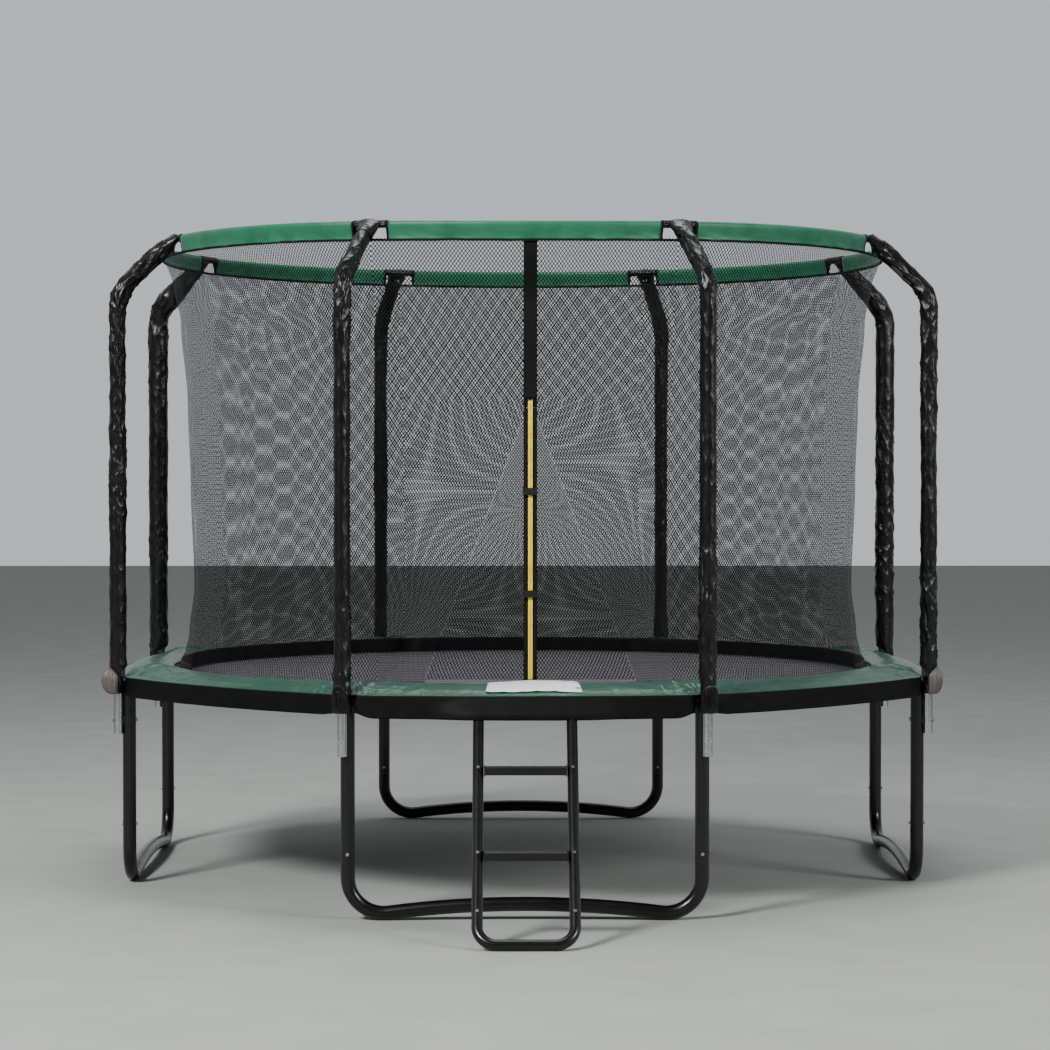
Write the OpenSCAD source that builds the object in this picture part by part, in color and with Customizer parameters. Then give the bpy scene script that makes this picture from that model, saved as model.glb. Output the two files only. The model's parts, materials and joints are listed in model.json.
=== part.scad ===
// Round garden trampoline with an inside safety net, a zipped door and a hook-on ladder.
// Origin: centre of the frame at ground level. Front (door and ladder) is at -Y, up is +Z.

/* [Frame] */
// Radius from the centre to the middle of a leg
leg_r = 1805; // [1795:5:1815]
// Sideways bulge of each rail section between its two legs
rail_sagitta = 77; // [70:1:84]
// Outer diameter of the rail tube
rail_od = 50; // [46:1:52]
// Height of the rail's centre line
rail_z = 853; // [840:1:870]
// Outer diameter of the leg tubes
leg_od = 56; // [54:1:57]
// Wall thickness of every steel tube
wall = 2; // [1.5:0.1:2.5]
// Height of the joint between a leg base and its uprights
joint_z = 230; // [220:5:260]
// Middle radius of the bent corner of a leg base
corner_r = 140; // [120:5:150]
// Rise of the leg base's bottom bar in the middle
bar_rise = 35; // [30:1:40]

/* [Enclosure] */
// Outer diameter of a net pole
pole_od = 38; // [36:1:38]
// Height of a pole's lower end
pole_low_z = 643; // [600:1:660]
// Height where a pole starts to bend inward
pole_bend_z = 2425; // [2400:5:2450]
// Radius of the ring that holds the net up
ring_r = 1590; // [1580:1:1600]
// Height of that ring
ring_z = 2728; // [2710:1:2740]
// Height of the green band that hides the ring
band_h = 76; // [60:1:90]
// Distance from the centre to the middle of a net side
net_r = 1480; // [1470:1:1490]

/* [Jumping surface] */
// Radius of the jumping mat
mat_r = 1560; // [1545:1:1565]
// Number of springs in one bay between two poles
springs_per_bay = 9; // [5:1:9]
// Thickness of the safety pad over the springs
pad_t = 20; // [12:1:22]
// Height of the skirt that hangs outside the frame
skirt_h = 78; // [60:1:85]

/* [Door and ladder] */
// Length of the zip
zip_len = 1115; // [1000:5:1120]
// Half the width of the door opening at its foot
door_half = 420; // [380:5:450]
// Sideways place of the door's middle
door_x = 22; // [0:1:30]
// Width between the middles of the ladder's stiles
ladder_w = 360; // [340:5:380]
// Distance from the centre to the ladder's foot
ladder_foot = 2400; // [2350:5:2420]
// Outer diameter of the ladder tubes
ladder_od = 42; // [40:1:42]

/* [Hidden] */

$fn = 48;
bays = 8;
bay = 360 / bays;
half_bay = bay / 2;
play = 0.1;                                   // radial clearance of a tube pushed into another
chord_half = leg_r * sin(half_bay);           // half the distance between neighbouring legs
chord_r = leg_r * cos(half_bay);              // centre to the middle of that line
rail_arc_r = (pow(chord_half, 2) + pow(rail_sagitta, 2)) / (2 * rail_sagitta);
rail_arc_off = chord_r + rail_sagitta - rail_arc_r;
rail_half_arc = asin(chord_half / rail_arc_r);
rail_r = rail_od / 2;
leg_rad = leg_od / 2;
neck_rad = leg_rad - wall - play;             // stub that goes up or down into a leg tube
socket_low_z = rail_z - 78;
pole_rad = pole_od / 2;
pole_r = leg_r + leg_rad + 1 + pole_rad;      // centre to the middle of a pole
pole_tilt = 47;                               // how far a pole leans inward above its bend
pole_bend_r = 160;
pole_tip_len = 256;
foam_rad = 29;
sleeve_rad = 32.5;
sleeve_low_z = 882;
saddle_z = 700;                               // height of the bolt that holds a pole to its leg
band_half = 19.7;                             // half the angle that one band section covers
band_t = 26;
pad_low_z = rail_z + 32;
pad_top_z = pad_low_z + pad_t;
pad_over = 27;                                // how far the pad reaches past the rail's middle
net_low_z = pad_top_z + 4;
net_top_z = 2652;
net_t = 4;
net_half = net_r * tan(half_bay) - 30;
net_foot_r = net_r + 20;
net_head_r = ring_r - 50;
flare_low_z = 1010;
flare_high_z = 2330;
door_low_z = 925;
door_high_z = door_low_z + zip_len;
door_gap = 6;                                 // half the width of the zip between the flaps
buckle_zs = [1265, 1670];
hook_y = -(rail_arc_off + sqrt(pow(rail_arc_r, 2) - pow(ladder_w / 2, 2)));
ladder_rad = ladder_od / 2;
ladder_lean = atan2(ladder_foot + hook_y, rail_z - ladder_rad);
ladder_len = norm([ladder_foot + hook_y, rail_z - ladder_rad]);
ladder_joint = 965;                           // distance from the rail down a stile to its joint
step_places = [310, 685];
hook_in = 27;
hook_out = 31;

function leg_angle(k) = half_bay + bay * (k - 1);
function mid_angle(k) = bay * k;

module tube(r, h, t = wall) {
    difference() {
        cylinder(r = r, h = h);
        translate([0, 0, -1]) cylinder(r = r - t, h = h + 2);
    }
}

// Places children at a leg's angle and a distance out from the centre
module at_leg(k, r) {
    rotate([0, 0, leg_angle(k)]) translate([r, 0, 0]) children();
}

// Sweeps an outline, drawn as (distance from the rail's middle, height), along part of a bay
module bay_sweep(k, from_a, to_a) {
    rotate([0, 0, mid_angle(k)]) translate([rail_arc_off, 0, 0]) rotate([0, 0, from_a])
        rotate_extrude(angle = to_a - from_a, $fn = 180) translate([rail_arc_r, 0]) children();
}

// One rail section: half a bay each side of a leg, with the leg's socket and a reduced end
module rail(k) {
    gap_a = 0.01;
    neck_a = 1;
    difference() {
        union() {
            translate([0, 0, rail_z]) {
                bay_sweep(k - 1, gap_a, rail_half_arc + 0.3) circle(r = rail_r);
                bay_sweep(k, -rail_half_arc - 0.3, -gap_a) circle(r = rail_r);
                bay_sweep(k, -1, neck_a) circle(r = rail_r - wall - play);
            }
            at_leg(k, leg_r) {
                translate([0, 0, socket_low_z]) cylinder(r = leg_rad, h = rail_z - socket_low_z + 12);
                translate([0, 0, socket_low_z - 60]) cylinder(r = neck_rad, h = 61);
            }
        }
        translate([0, 0, rail_z]) {
            bay_sweep(k - 1, -1, rail_half_arc - 1) circle(r = rail_r - wall);
            bay_sweep(k, -rail_half_arc + 1, -1.02) circle(r = rail_r - wall);
            bay_sweep(k, -1.5, neck_a + 1) circle(r = rail_r - 2 * wall - play);
        }
        at_leg(k, leg_r) translate([0, 0, socket_low_z - 61]) cylinder(r = neck_rad - wall, h = 90);
    }
}

// Weld bead round a tube where a bend meets the next length
module bead(r) {
    translate([0, 0, -3]) cylinder(r = r + 0.3, h = 6);
}

// Bottom U of a leg pair, drawn in the XZ plane: two bent corners and an arched bar
module leg_base_shape(r) {
    rise_a = 2 * atan2(bar_rise, chord_half - corner_r);
    bar_end = chord_half - corner_r - corner_r * sin(rise_a);
    bar_r = bar_end / sin(rise_a);
    bar_low = leg_rad + corner_r * (1 - cos(rise_a));
    for (s = [0, 1]) mirror([s, 0, 0])
        translate([chord_half - corner_r, 0, leg_rad + corner_r]) rotate([90, 0, 0])
            rotate([0, 0, -90 - rise_a]) rotate_extrude(angle = 90 + rise_a)
                translate([corner_r, 0]) circle(r = r);
    for (s = [-1, 1]) {
        translate([s * chord_half, 0, leg_rad + corner_r]) bead(r);
        translate([s * bar_end, 0, bar_low]) rotate([0, -s * (90 - rise_a), 0]) bead(r);
    }
    translate([0, 0, bar_low - bar_r * cos(rise_a)]) rotate([90, 0, 0]) rotate([0, 0, 90 - rise_a])
        rotate_extrude(angle = 2 * rise_a, $fn = 180) translate([bar_r, 0]) circle(r = r);
}

module leg_base(side) {
    color("#17181a") rotate([0, 0, bay * 2 * side + 90]) translate([0, -chord_r, 0]) difference() {
        union() {
            leg_base_shape(leg_rad);
            for (s = [-1, 1]) translate([s * chord_half, 0, leg_rad + corner_r]) {
                cylinder(r = leg_rad, h = joint_z - leg_rad - corner_r);
                cylinder(r = neck_rad, h = joint_z - leg_rad - corner_r + 70);
            }
        }
        for (s = [-1, 1]) translate([s * chord_half, 0, leg_rad + corner_r + 5])
            cylinder(r = neck_rad - wall, h = joint_z);
        for (s = [-1, 1]) translate([s * chord_half, 0, joint_z + 30]) rotate([90, 0, 0])
            cylinder(r = 3.2, h = 100, center = true);
    }
}

module leg(k) {
    across = k % 2 == 0 ? half_bay : -half_bay;
    color("#17181a") at_leg(k, leg_r) difference() {
        translate([0, 0, joint_z + 0.3]) tube(leg_rad, socket_low_z - joint_z - 0.6);
        translate([0, 0, joint_z + 30]) rotate([0, 0, across]) rotate([0, 90, 0])
            cylinder(r = 3.2, h = 100, center = true);
        translate([0, 0, saddle_z]) rotate([0, 90, 0]) cylinder(r = 4.2, h = 100, center = true);
    }
}

// A straight length and its bend toward the centre, for a pole, its foam or its sleeve
module pole_shape(r, low_z, tip_len) {
    translate([0, 0, low_z]) cylinder(r = r, h = pole_bend_z - low_z);
    translate([-pole_bend_r, 0, pole_bend_z]) rotate([90, 0, 0])
        rotate_extrude(angle = pole_tilt) translate([pole_bend_r, 0]) circle(r = r);
    at_pole_tip(0) cylinder(r = r, h = tip_len);
    at_pole_tip(0) bead(r);
}

// The same path without beads, for cutting a hollow
module pole_bore(r, low_z, tip_len) {
    translate([0, 0, low_z]) cylinder(r = r, h = pole_bend_z - low_z);
    translate([-pole_bend_r, 0, pole_bend_z]) rotate([90, 0, 0])
        rotate_extrude(angle = pole_tilt) translate([pole_bend_r, 0]) circle(r = r);
    at_pole_tip(0) cylinder(r = r, h = tip_len);
}

module at_pole_tip(along) {
    translate([-pole_bend_r, 0, pole_bend_z]) rotate([0, -pole_tilt, 0])
        translate([pole_bend_r, 0, along]) children();
}

module pole(k) {
    color("#b9bcbd") at_leg(k, pole_r) difference() {
        pole_shape(pole_rad, pole_low_z, pole_tip_len);
        pole_bore(pole_rad - wall, pole_low_z - 1, pole_tip_len + 1);
        translate([0, 0, saddle_z]) rotate([0, 90, 0]) cylinder(r = 4.2, h = 100, center = true);
    }
}

module pole_foam() {
    color("#2b2c2e") for (k = [1:bays]) at_leg(k, pole_r) difference() {
        pole_shape(foam_rad, sleeve_low_z + 4, pole_tip_len - 22);
        pole_bore(pole_rad + 0.6, sleeve_low_z - 1, pole_tip_len + 1);
    }
}

module pole_sleeves() {
    color("#141517") for (k = [1:bays]) at_leg(k, pole_r) difference() {
        pole_shape(sleeve_rad, sleeve_low_z, pole_tip_len - 20);
        pole_bore(foam_rad + 0.6, sleeve_low_z - 1, pole_tip_len + 1);
    }
}

// Moulded cap on a pole's upper end, with a saddle that carries the ring
module pole_caps() {
    color("#1b1c1e") for (k = [1:bays]) difference() {
        at_leg(k, pole_r) at_pole_tip(pole_tip_len - 18) {
            cylinder(r = 26, h = 30);
            translate([0, 0, 30]) scale(1) intersection() {
                sphere(r = 26);
                translate([-40, -40, 0]) cube([80, 80, 12]);
            }
        }
        at_leg(k, pole_r) at_pole_tip(4) cylinder(r = pole_rad + 0.2, h = pole_tip_len - 3.8);
        rotate([0, 0, leg_angle(k) - 4]) translate([0, 0, ring_z])
            rotate_extrude(angle = 8, $fn = 180) translate([ring_r, 0]) circle(r = 11.3);
    }
}

module top_ring() {
    color("#1b1c1e") for (k = [1:bays])
        rotate([0, 0, mid_angle(k) - half_bay + 0.01]) translate([0, 0, ring_z])
        rotate_extrude(angle = bay - 0.02, $fn = 180) translate([ring_r, 0]) difference() {
            circle(r = 11);
            circle(r = 9.4);
        }
}

module top_band() {
    color("#367c5c") for (k = [1:bays]) rotate([0, 0, mid_angle(k) - band_half])
        translate([0, 0, ring_z + 15 - band_h]) rotate_extrude(angle = 2 * band_half, $fn = 180)
            translate([ring_r - band_t / 2, 0]) difference() {
                square([band_t, band_h]);
                translate([1.5, 1.5]) square([band_t - 3, band_h - 3]);
            }
}

// Side view of the net as (distance out, height): in at the middle, out at both ends
function net_line(shift) = [[net_foot_r + shift, net_low_z], [net_r + shift, flare_low_z],
                            [net_r + shift, flare_high_z], [net_head_r + shift, net_top_z]];
function reversed(list) = [for (i = [len(list) - 1:-1:0]) list[i]];

// A straight net side, from one distance along it to another
module net_side(k, from_w, to_w) {
    rotate([0, 0, mid_angle(k)]) translate([0, to_w, 0]) rotate([90, 0, 0])
        linear_extrude(to_w - from_w) polygon(concat(net_line(0), reversed(net_line(net_t))));
}

// Outline of the door opening in the net, wider than the flaps by a margin
module door_outline(margin) {
    polygon([[-door_half - margin, door_low_z - margin], [door_half + margin, door_low_z - margin],
             [door_gap + margin + 0.5, door_high_z + margin],
             [-door_gap - margin - 0.5, door_high_z + margin]]);
}

module net_wall() {
    front = 6;
    color("#26282a") {
        for (k = [1:bays]) if (k != front) net_side(k, -net_half, net_half);
        difference() {
            net_side(front, -net_half, net_half);
            translate([door_x, -net_r + 200, 0]) rotate([90, 0, 0]) linear_extrude(600) {
                door_outline(3);
                translate([-8, door_high_z - 40]) square([16, 62]);
            }
        }
    }
}

module net_base_band() {
    color("#141517") for (k = [1:bays]) rotate([0, 0, mid_angle(k) - half_bay + 0.15])
        translate([0, 0, rail_z + 7]) rotate_extrude(angle = bay - 0.3, $fn = 180)
            translate([mat_r - 20, 0]) square([3, net_low_z - rail_z - 10]);
}

// A triangular net flap; it folds out about its slanted edge
module door_flap(s) {
    color("#26282a") translate([door_x, -net_r, 0]) rotate([90, 0, 0]) linear_extrude(net_t) polygon([
        [s * (door_gap + 1), door_low_z],
        [s * (door_half - 2), door_low_z],
        [s * (door_gap + 4), door_high_z - 8],
        [s * (door_gap + 1), door_high_z - 8]]);
}

// One side of the zip: its tape and its row of teeth as a strip
module zip_half(s) {
    color("#d9b21f") translate([door_x, -net_r - net_t, 0]) rotate([90, 0, 0]) {
        linear_extrude(1) polygon([[s * 0.3, door_low_z + 2], [s * 8.5, door_low_z + 2],
                                   [s * 8.5, door_high_z - 12], [s * 0.3, door_high_z - 12]]);
        translate([0, 0, 1]) linear_extrude(2.4)
            polygon([[s * 0.3, door_low_z + 2], [s * 3.4, door_low_z + 2],
                                   [s * 3.4, door_high_z - 12], [s * 0.3, door_high_z - 12]]);
    }
}

// Slider in the gap between the flaps, with the lug of its pull on the inside
module zip_slider() {
    color("#2a2b2d") translate([door_x, -net_r, door_high_z + 4]) {
        translate([-5.8, -3.4, -11]) cube([11.6, 5.4, 22]);
        translate([-1.5, 2, -4.5]) difference() {
            cube([3, 5, 9]);
            translate([-1, 3, 4.5]) rotate([0, 90, 0]) cylinder(r = 1.3, h = 5);
        }
    }
}

module zip_pull() {
    color("#2a2b2d") translate([door_x, -net_r + 5, door_high_z + 4]) {
        rotate([0, 90, 0]) cylinder(r = 1.2, h = 9, center = true);
        for (s = [-1, 1]) translate([s * 3.5 - 1, -1.2, -14]) cube([2, 2.4, 14]);
        translate([-4.5, -1.2, -38]) cube([9, 2.4, 24]);
    }
}

// Side-release buckle: the socket stays on the door strip, the plug slides out of it
module buckle_sockets() {
    color("#161719") for (z = buckle_zs) translate([door_x, -net_r - net_t - 12, z]) difference() {
        translate([-30, -5, -14]) cube([32, 12, 28]);
        translate([-27, -3, -11]) cube([40, 8, 22]);
    }
}

module buckle_plug(z) {
    color("#161719") translate([door_x, -net_r - net_t - 12, z]) {
        translate([2.3, -5, -14]) cube([26, 12, 28]);
        translate([-24, -1.5, -2.5]) cube([27, 5, 5]);
        for (s = [-1, 1]) translate([-22, -1.5, s * 8 - 2]) cube([25, 5, 4]);
    }
}

module jump_mat() {
    color("#3b3844") translate([0, 0, rail_z]) cylinder(r = mat_r, h = 4, $fn = 180);
}

function spring_angle(i) = (i - (springs_per_bay - 1) / 2) * (bay - 8) / (springs_per_bay - 1);

// Distance out to the inside of the rail at an angle from the middle of a bay
function rail_inside(a) = rail_arc_off * cos(a)
    + sqrt(pow(rail_arc_r - rail_r, 2) - pow(rail_arc_off * sin(a), 2));

module mat_rings() {
    color("#8f9294") for (k = [1:bays], i = [0:springs_per_bay - 1])
        rotate([0, 0, mid_angle(k) + spring_angle(i)]) translate([mat_r + 1, 0, rail_z + 2])
            linear_extrude(3.5, center = true, convexity = 4) difference() {
                polygon([[0, -20], [0, 20], [17, 4], [17, -4]]);
                polygon([[3.5, -12], [3.5, 12], [12, 3], [12, -3]]);
            }
}

module springs() {
    color("#a9adaf") for (k = [1:bays], i = [0:springs_per_bay - 1]) {
        end_r = rail_inside(spring_angle(i)) - 1;
        rotate([0, 0, mid_angle(k) + spring_angle(i)]) translate([mat_r + 19, 0, rail_z + 2])
            rotate([0, 90, 0]) {
                translate([0, 0, 14]) cylinder(r = 8, h = end_r - mat_r - 47, $fn = 16);
                cylinder(r = 1.6, h = end_r - mat_r - 19, $fn = 14);
            }
    }
}

module pad_edge(k, over) {
    rotate([0, 0, mid_angle(k)]) intersection() {
        translate([rail_arc_off, 0]) circle(r = rail_arc_r + over, $fn = 360);
        polygon([[0, 0], [2200 * cos(half_bay), -2200 * sin(half_bay)],
                 [2200 * cos(half_bay), 2200 * sin(half_bay)]]);
    }
}

module safety_pad() {
    color("#265242") difference() {
        translate([0, 0, pad_low_z]) linear_extrude(pad_t) difference() {
            union() for (k = [1:bays]) pad_edge(k, pad_over);
            circle(r = mat_r - 4, $fn = 180);
        }
        for (k = [1:bays]) at_leg(k, pole_r)
            translate([0, 0, pad_low_z - 1]) cylinder(r = sleeve_rad + 3, h = pad_t + 2);
    }
}

module skirt_bay(k) {
    color("#161719") bay_sweep(k, -rail_half_arc + 1.3, rail_half_arc - 1.3)
        translate([pad_over + 4, pad_top_z - 2 - skirt_h]) square([3, skirt_h]);
}

module skirt() {
    for (k = [1:bays]) if (k != 6) skirt_bay(k);
}

// The front skirt hangs clear of the ladder's stiles
module skirt_front() {
    color("#161719") bay_sweep(6, -rail_half_arc + 1.3, rail_half_arc - 1.3) polygon([
        [34, pad_top_z - 2], [37, pad_top_z - 2], [39, rail_z + 2],
        [78, pad_top_z - 2 - skirt_h], [75, pad_top_z - 2 - skirt_h], [36, rail_z + 2]]);
}

// Gathered cuff of the skirt that wraps round the outside of a pole
module pole_boots() {
    color("#161719") for (k = [1:bays]) at_leg(k, pole_r) difference() {
        translate([0, 0, pad_low_z - 68]) cylinder(r = sleeve_rad + 14, h = 66);
        translate([0, 0, pad_low_z - 69]) cylinder(r = sleeve_rad + 3, h = 68);
        translate([-100, -60, pad_low_z - 69]) cube([100, 120, 68]);
    }
}

// Sewn patch on the front of the pad, left blank
module pad_patch() {
    color("#d6d9d6") translate([-145, -chord_r - rail_sagitta - 13, pad_top_z + 0.2]) cube([356, 148, 1]);
}

// Moulded spacer between a leg and its pole
module pole_saddles() {
    color("#1b1c1e") for (k = [1:bays]) at_leg(k, leg_r) difference() {
        translate([4, -17, saddle_z - 17]) cube([44, 34, 34]);
        translate([0, 0, 600]) cylinder(r = leg_rad + 0.2, h = 200);
        translate([pole_r - leg_r, 0, 600]) cylinder(r = pole_rad + 0.2, h = 200);
        translate([0, 0, saddle_z]) rotate([0, 90, 0]) cylinder(r = 4.2, h = 200, center = true);
    }
}

module bolt(len, head_r) {
    cylinder(r = 3, h = len);
    translate([0, 0, -5]) cylinder(r = head_r, h = 5);
    translate([0, 0, len - 6]) cylinder(r = head_r - 0.5, h = 6, $fn = 6);
}

module frame_bolts() {
    color("#c9cccd") for (k = [1:bays]) {
        across = k % 2 == 0 ? half_bay : -half_bay;
        at_leg(k, pole_r + pole_rad + 0.1) translate([0, 0, saddle_z]) rotate([0, -90, 0])
            bolt(2 * pole_rad + leg_od + 8, 8);
        at_leg(k, leg_r) translate([0, 0, joint_z + 30]) rotate([0, 0, across]) rotate([0, -90, 0])
            translate([0, 0, -leg_rad - 0.1]) bolt(leg_od + 7, 6.5);
    }
}

// Places children at the top of a stile, with Z running down along it
module on_stile(s) {
    translate([s * ladder_w / 2, hook_y, rail_z]) rotate([180 - ladder_lean, 0, 0]) children();
}

// Upper stile: a tube with a flat hook that goes over the rail
module ladder_stile(s) {
    color("#17181a") difference() {
        union() {
            on_stile(s) translate([0, 0, 48]) cylinder(r = ladder_rad, h = ladder_joint - 48.3);
            translate([s * ladder_w / 2 - 16, hook_y, rail_z]) rotate([0, 90, 0])
                cylinder(r = hook_out, h = 32);
            on_stile(s) translate([-12, -6, 20]) cube([24, 14, 45]);
        }
        translate([s * ladder_w / 2 - 20, hook_y, rail_z]) rotate([0, 90, 0]) cylinder(r = hook_in, h = 40);
        translate([s * ladder_w / 2 - 20, hook_y - 3, rail_z - 62]) cube([40, 61, 60]);
        on_stile(s) translate([0, 0, 70]) cylinder(r = ladder_rad - wall, h = ladder_joint);
        on_stile(s) for (z = concat(step_places, [ladder_joint - 32])) translate([0, 0, z]) rotate([90, 0, 0])
            cylinder(r = 3.2, h = 60, center = true);
    }
}

module ladder_base() {
    bend_r = 75;
    straight_end = ladder_len - bend_r;
    color("#17181a") difference() {
        union() {
            for (s = [-1, 1]) on_stile(s) {
                translate([0, 0, ladder_joint]) cylinder(r = ladder_rad, h = straight_end - ladder_joint);
                translate([0, 0, ladder_joint - 60]) cylinder(r = ladder_rad - wall - play, h = 61);
                translate([-s * bend_r, 0, straight_end]) rotate([90, 0, 0]) rotate([0, 0, s > 0 ? 0 : 90])
                    rotate_extrude(angle = 90) translate([bend_r, 0]) circle(r = ladder_rad);
                translate([0, 0, straight_end]) bead(ladder_rad);
                translate([-s * bend_r, 0, ladder_len]) rotate([0, 90, 0]) bead(ladder_rad);
            }
            on_stile(0) translate([0, 0, ladder_len]) rotate([0, 90, 0])
                cylinder(r = ladder_rad, h = ladder_w - 2 * bend_r, center = true);
        }
        for (s = [-1, 1]) on_stile(s) {
            translate([0, 0, ladder_joint - 61])
                cylinder(r = ladder_rad - 2 * wall - play, h = 61 + straight_end - ladder_joint);
            translate([0, 0, ladder_joint - 32]) rotate([90, 0, 0]) cylinder(r = 3.2, h = 60, center = true);
        }
    }
}

// Flat tread with a slight crown, and an ear at each end that bolts to the stile
module ladder_step(place) {
    tread_w = ladder_w - ladder_od - 3;
    color("#17181a") on_stile(0) translate([0, 0, place]) rotate([ladder_lean, 0, 0]) difference() {
        union() {
            translate([-tread_w / 2, -38, -14]) cube([tread_w, 76, 28]);
            for (s = [-1, 1]) translate([s * (tread_w / 2 - 2) - 2, -26, -20]) cube([4, 52, 40]);
        }
        translate([-tread_w / 2 + 4, -34, -10]) cube([tread_w - 8, 68, 30]);
    }
}

module ladder_bolts() {
    color("#c9cccd") for (s = [-1, 1]) on_stile(s) for (z = concat(step_places, [ladder_joint - 32]))
        translate([0, -ladder_rad - 0.1, z]) rotate([-90, 0, 0]) bolt(ladder_od + 7, 7);
}

color("#5f6264") rail(1);  // rail_1
color("#5f6264") rail(2);  // rail_2
color("#5f6264") rail(3);  // rail_3
color("#5f6264") rail(4);  // rail_4
color("#5f6264") rail(5);  // rail_5
color("#5f6264") rail(6);  // rail_6
color("#5f6264") rail(7);  // rail_7
color("#5f6264") rail(8);  // rail_8
leg_base(0);  // leg_base_right
leg_base(1);  // leg_base_rear
leg_base(2);  // leg_base_left
leg_base(3);  // leg_base_front
leg(1);  // leg_1
leg(2);  // leg_2
leg(3);  // leg_3
leg(4);  // leg_4
leg(5);  // leg_5
leg(6);  // leg_6
leg(7);  // leg_7
leg(8);  // leg_8
pole(1);  // pole_1
pole(2);  // pole_2
pole(3);  // pole_3
pole(4);  // pole_4
pole(5);  // pole_5
pole(6);  // pole_6
pole(7);  // pole_7
pole(8);  // pole_8
pole_foam();
pole_sleeves();
pole_caps();
top_ring();
top_band();
net_wall();
net_base_band();
door_flap(-1);  // door_flap_left
door_flap(1);  // door_flap_right
zip_half(-1);  // zip_left
zip_half(1);  // zip_right
zip_slider();
zip_pull();
buckle_sockets();
buckle_plug(buckle_zs[1]);  // buckle_plug_upper
buckle_plug(buckle_zs[0]);  // buckle_plug_lower
jump_mat();
mat_rings();
springs();
safety_pad();
skirt();
skirt_front();
pole_boots();
pole_saddles();
frame_bolts();
ladder_stile(-1);  // ladder_stile_left
ladder_stile(1);  // ladder_stile_right
ladder_base();
ladder_step(step_places[0]);  // ladder_step_upper
ladder_step(step_places[1]);  // ladder_step_lower
ladder_bolts();
pad_patch();
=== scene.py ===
import json
import math

import bpy
from mathutils import Matrix, Vector, noise


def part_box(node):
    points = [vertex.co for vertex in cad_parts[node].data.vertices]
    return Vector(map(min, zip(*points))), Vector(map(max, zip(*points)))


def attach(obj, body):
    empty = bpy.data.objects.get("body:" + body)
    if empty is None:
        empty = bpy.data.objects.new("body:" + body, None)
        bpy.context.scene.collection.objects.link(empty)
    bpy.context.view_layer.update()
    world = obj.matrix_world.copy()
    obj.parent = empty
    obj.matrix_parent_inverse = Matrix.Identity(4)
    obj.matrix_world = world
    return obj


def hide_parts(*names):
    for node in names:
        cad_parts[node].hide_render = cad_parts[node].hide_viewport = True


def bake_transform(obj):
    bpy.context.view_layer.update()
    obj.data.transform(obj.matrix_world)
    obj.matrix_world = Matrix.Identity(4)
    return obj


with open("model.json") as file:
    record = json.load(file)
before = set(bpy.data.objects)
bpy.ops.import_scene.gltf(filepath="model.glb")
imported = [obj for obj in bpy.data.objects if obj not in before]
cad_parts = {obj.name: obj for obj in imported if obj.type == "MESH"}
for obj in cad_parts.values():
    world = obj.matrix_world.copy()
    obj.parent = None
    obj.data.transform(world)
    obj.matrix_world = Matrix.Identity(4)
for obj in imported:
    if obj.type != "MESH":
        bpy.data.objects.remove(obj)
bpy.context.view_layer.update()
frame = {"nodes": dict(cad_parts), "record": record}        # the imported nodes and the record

scene = bpy.context.scene


# the frame's own sizes, in metres

def boxOf(node):
    low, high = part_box(node)
    return Vector(low), Vector(high)


bayCount = 8
bayAngle = math.tau / bayCount
halfBay = bayAngle / 2

padLow, padHigh = boxOf("safety_pad")
matHigh = boxOf("jump_mat")[1]
ringLow, ringHigh = boxOf("top_ring")
bandLow = boxOf("top_band")[0]
legLow, legHigh = boxOf("leg_1")
poleHigh = boxOf("pole_1")[1]
flapLow, flapHigh = boxOf("door_flap_right")
zipLow = boxOf("zip_right")[0]
zipLeftHigh = boxOf("zip_left")[1]

legMiddle = (legLow + legHigh) / 2
legRadius = math.hypot(legMiddle.x, legMiddle.y)
matRadius = matHigh.x
matTop = matHigh.z
poleTubeR = 0.019
poleRadius = (poleHigh.x - poleTubeR) / math.cos(halfBay)
poleBendZ = 2.425
poleBendR = 0.160
poleTilt = math.radians(47)
poleTip = 0.256
ringZ = (ringLow.z + ringHigh.z) / 2
ringR = ringHigh.x - 0.011
doorX = (zipLow.x + zipLeftHigh.x) / 2
doorY = -flapLow.y
doorLowZ, doorHighZ = flapLow.z, flapHigh.z
doorHalf = flapHigh.x - doorX
railSagitta = 0.077
chordHalf = legRadius * math.sin(halfBay)
railArcR = (chordHalf ** 2 + railSagitta ** 2) / (2 * railSagitta)
railArcOff = legRadius * math.cos(halfBay) + railSagitta - railArcR
railZ = padLow.z - 0.032
print("frame read: legs at", round(legRadius, 3), "poles at", round(poleRadius, 3))


def legAngle(k):
    return halfBay + bayAngle * (k - 1)


def polar(r, angle, z):
    return Vector((r * math.cos(angle), r * math.sin(angle), z))


# Distance out to the rail's middle plus over, at an angle from the middle of a bay.
def railEdge(a, over):
    return railArcOff * math.cos(a) + math.sqrt((railArcR + over) ** 2 - (railArcOff * math.sin(a)) ** 2)


# The ring sags at the door, where it has the most weight, and stands higher round the back.
def ringLift(angle):
    back = (1 + math.sin(angle)) / 2
    return 0.021 * (1 - math.exp(-back / 0.08)) - 0.010


def bayOffset(angle):
    return (angle + halfBay) % bayAngle - halfBay


def smooth(x):
    x = min(max(x, 0.0), 1.0)
    return x * x * (3 - 2 * x)


# Reads a smooth line through (x, value) pairs.
def follow(table, x):
    if x <= table[0][0]:
        return table[0][1]
    for (x0, y0), (x1, y1) in zip(table, table[1:]):
        if x <= x1:
            return y0 + (y1 - y0) * smooth((x - x0) / (x1 - x0))
    return table[-1][1]


# Noise with narrow crests, for creases in coated cloth; from 0 to 1.
def ridge(p, sharp=2.0):
    return (1 - min(abs(noise.noise(p)) * 2.2, 1)) ** sharp


# materials

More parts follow.
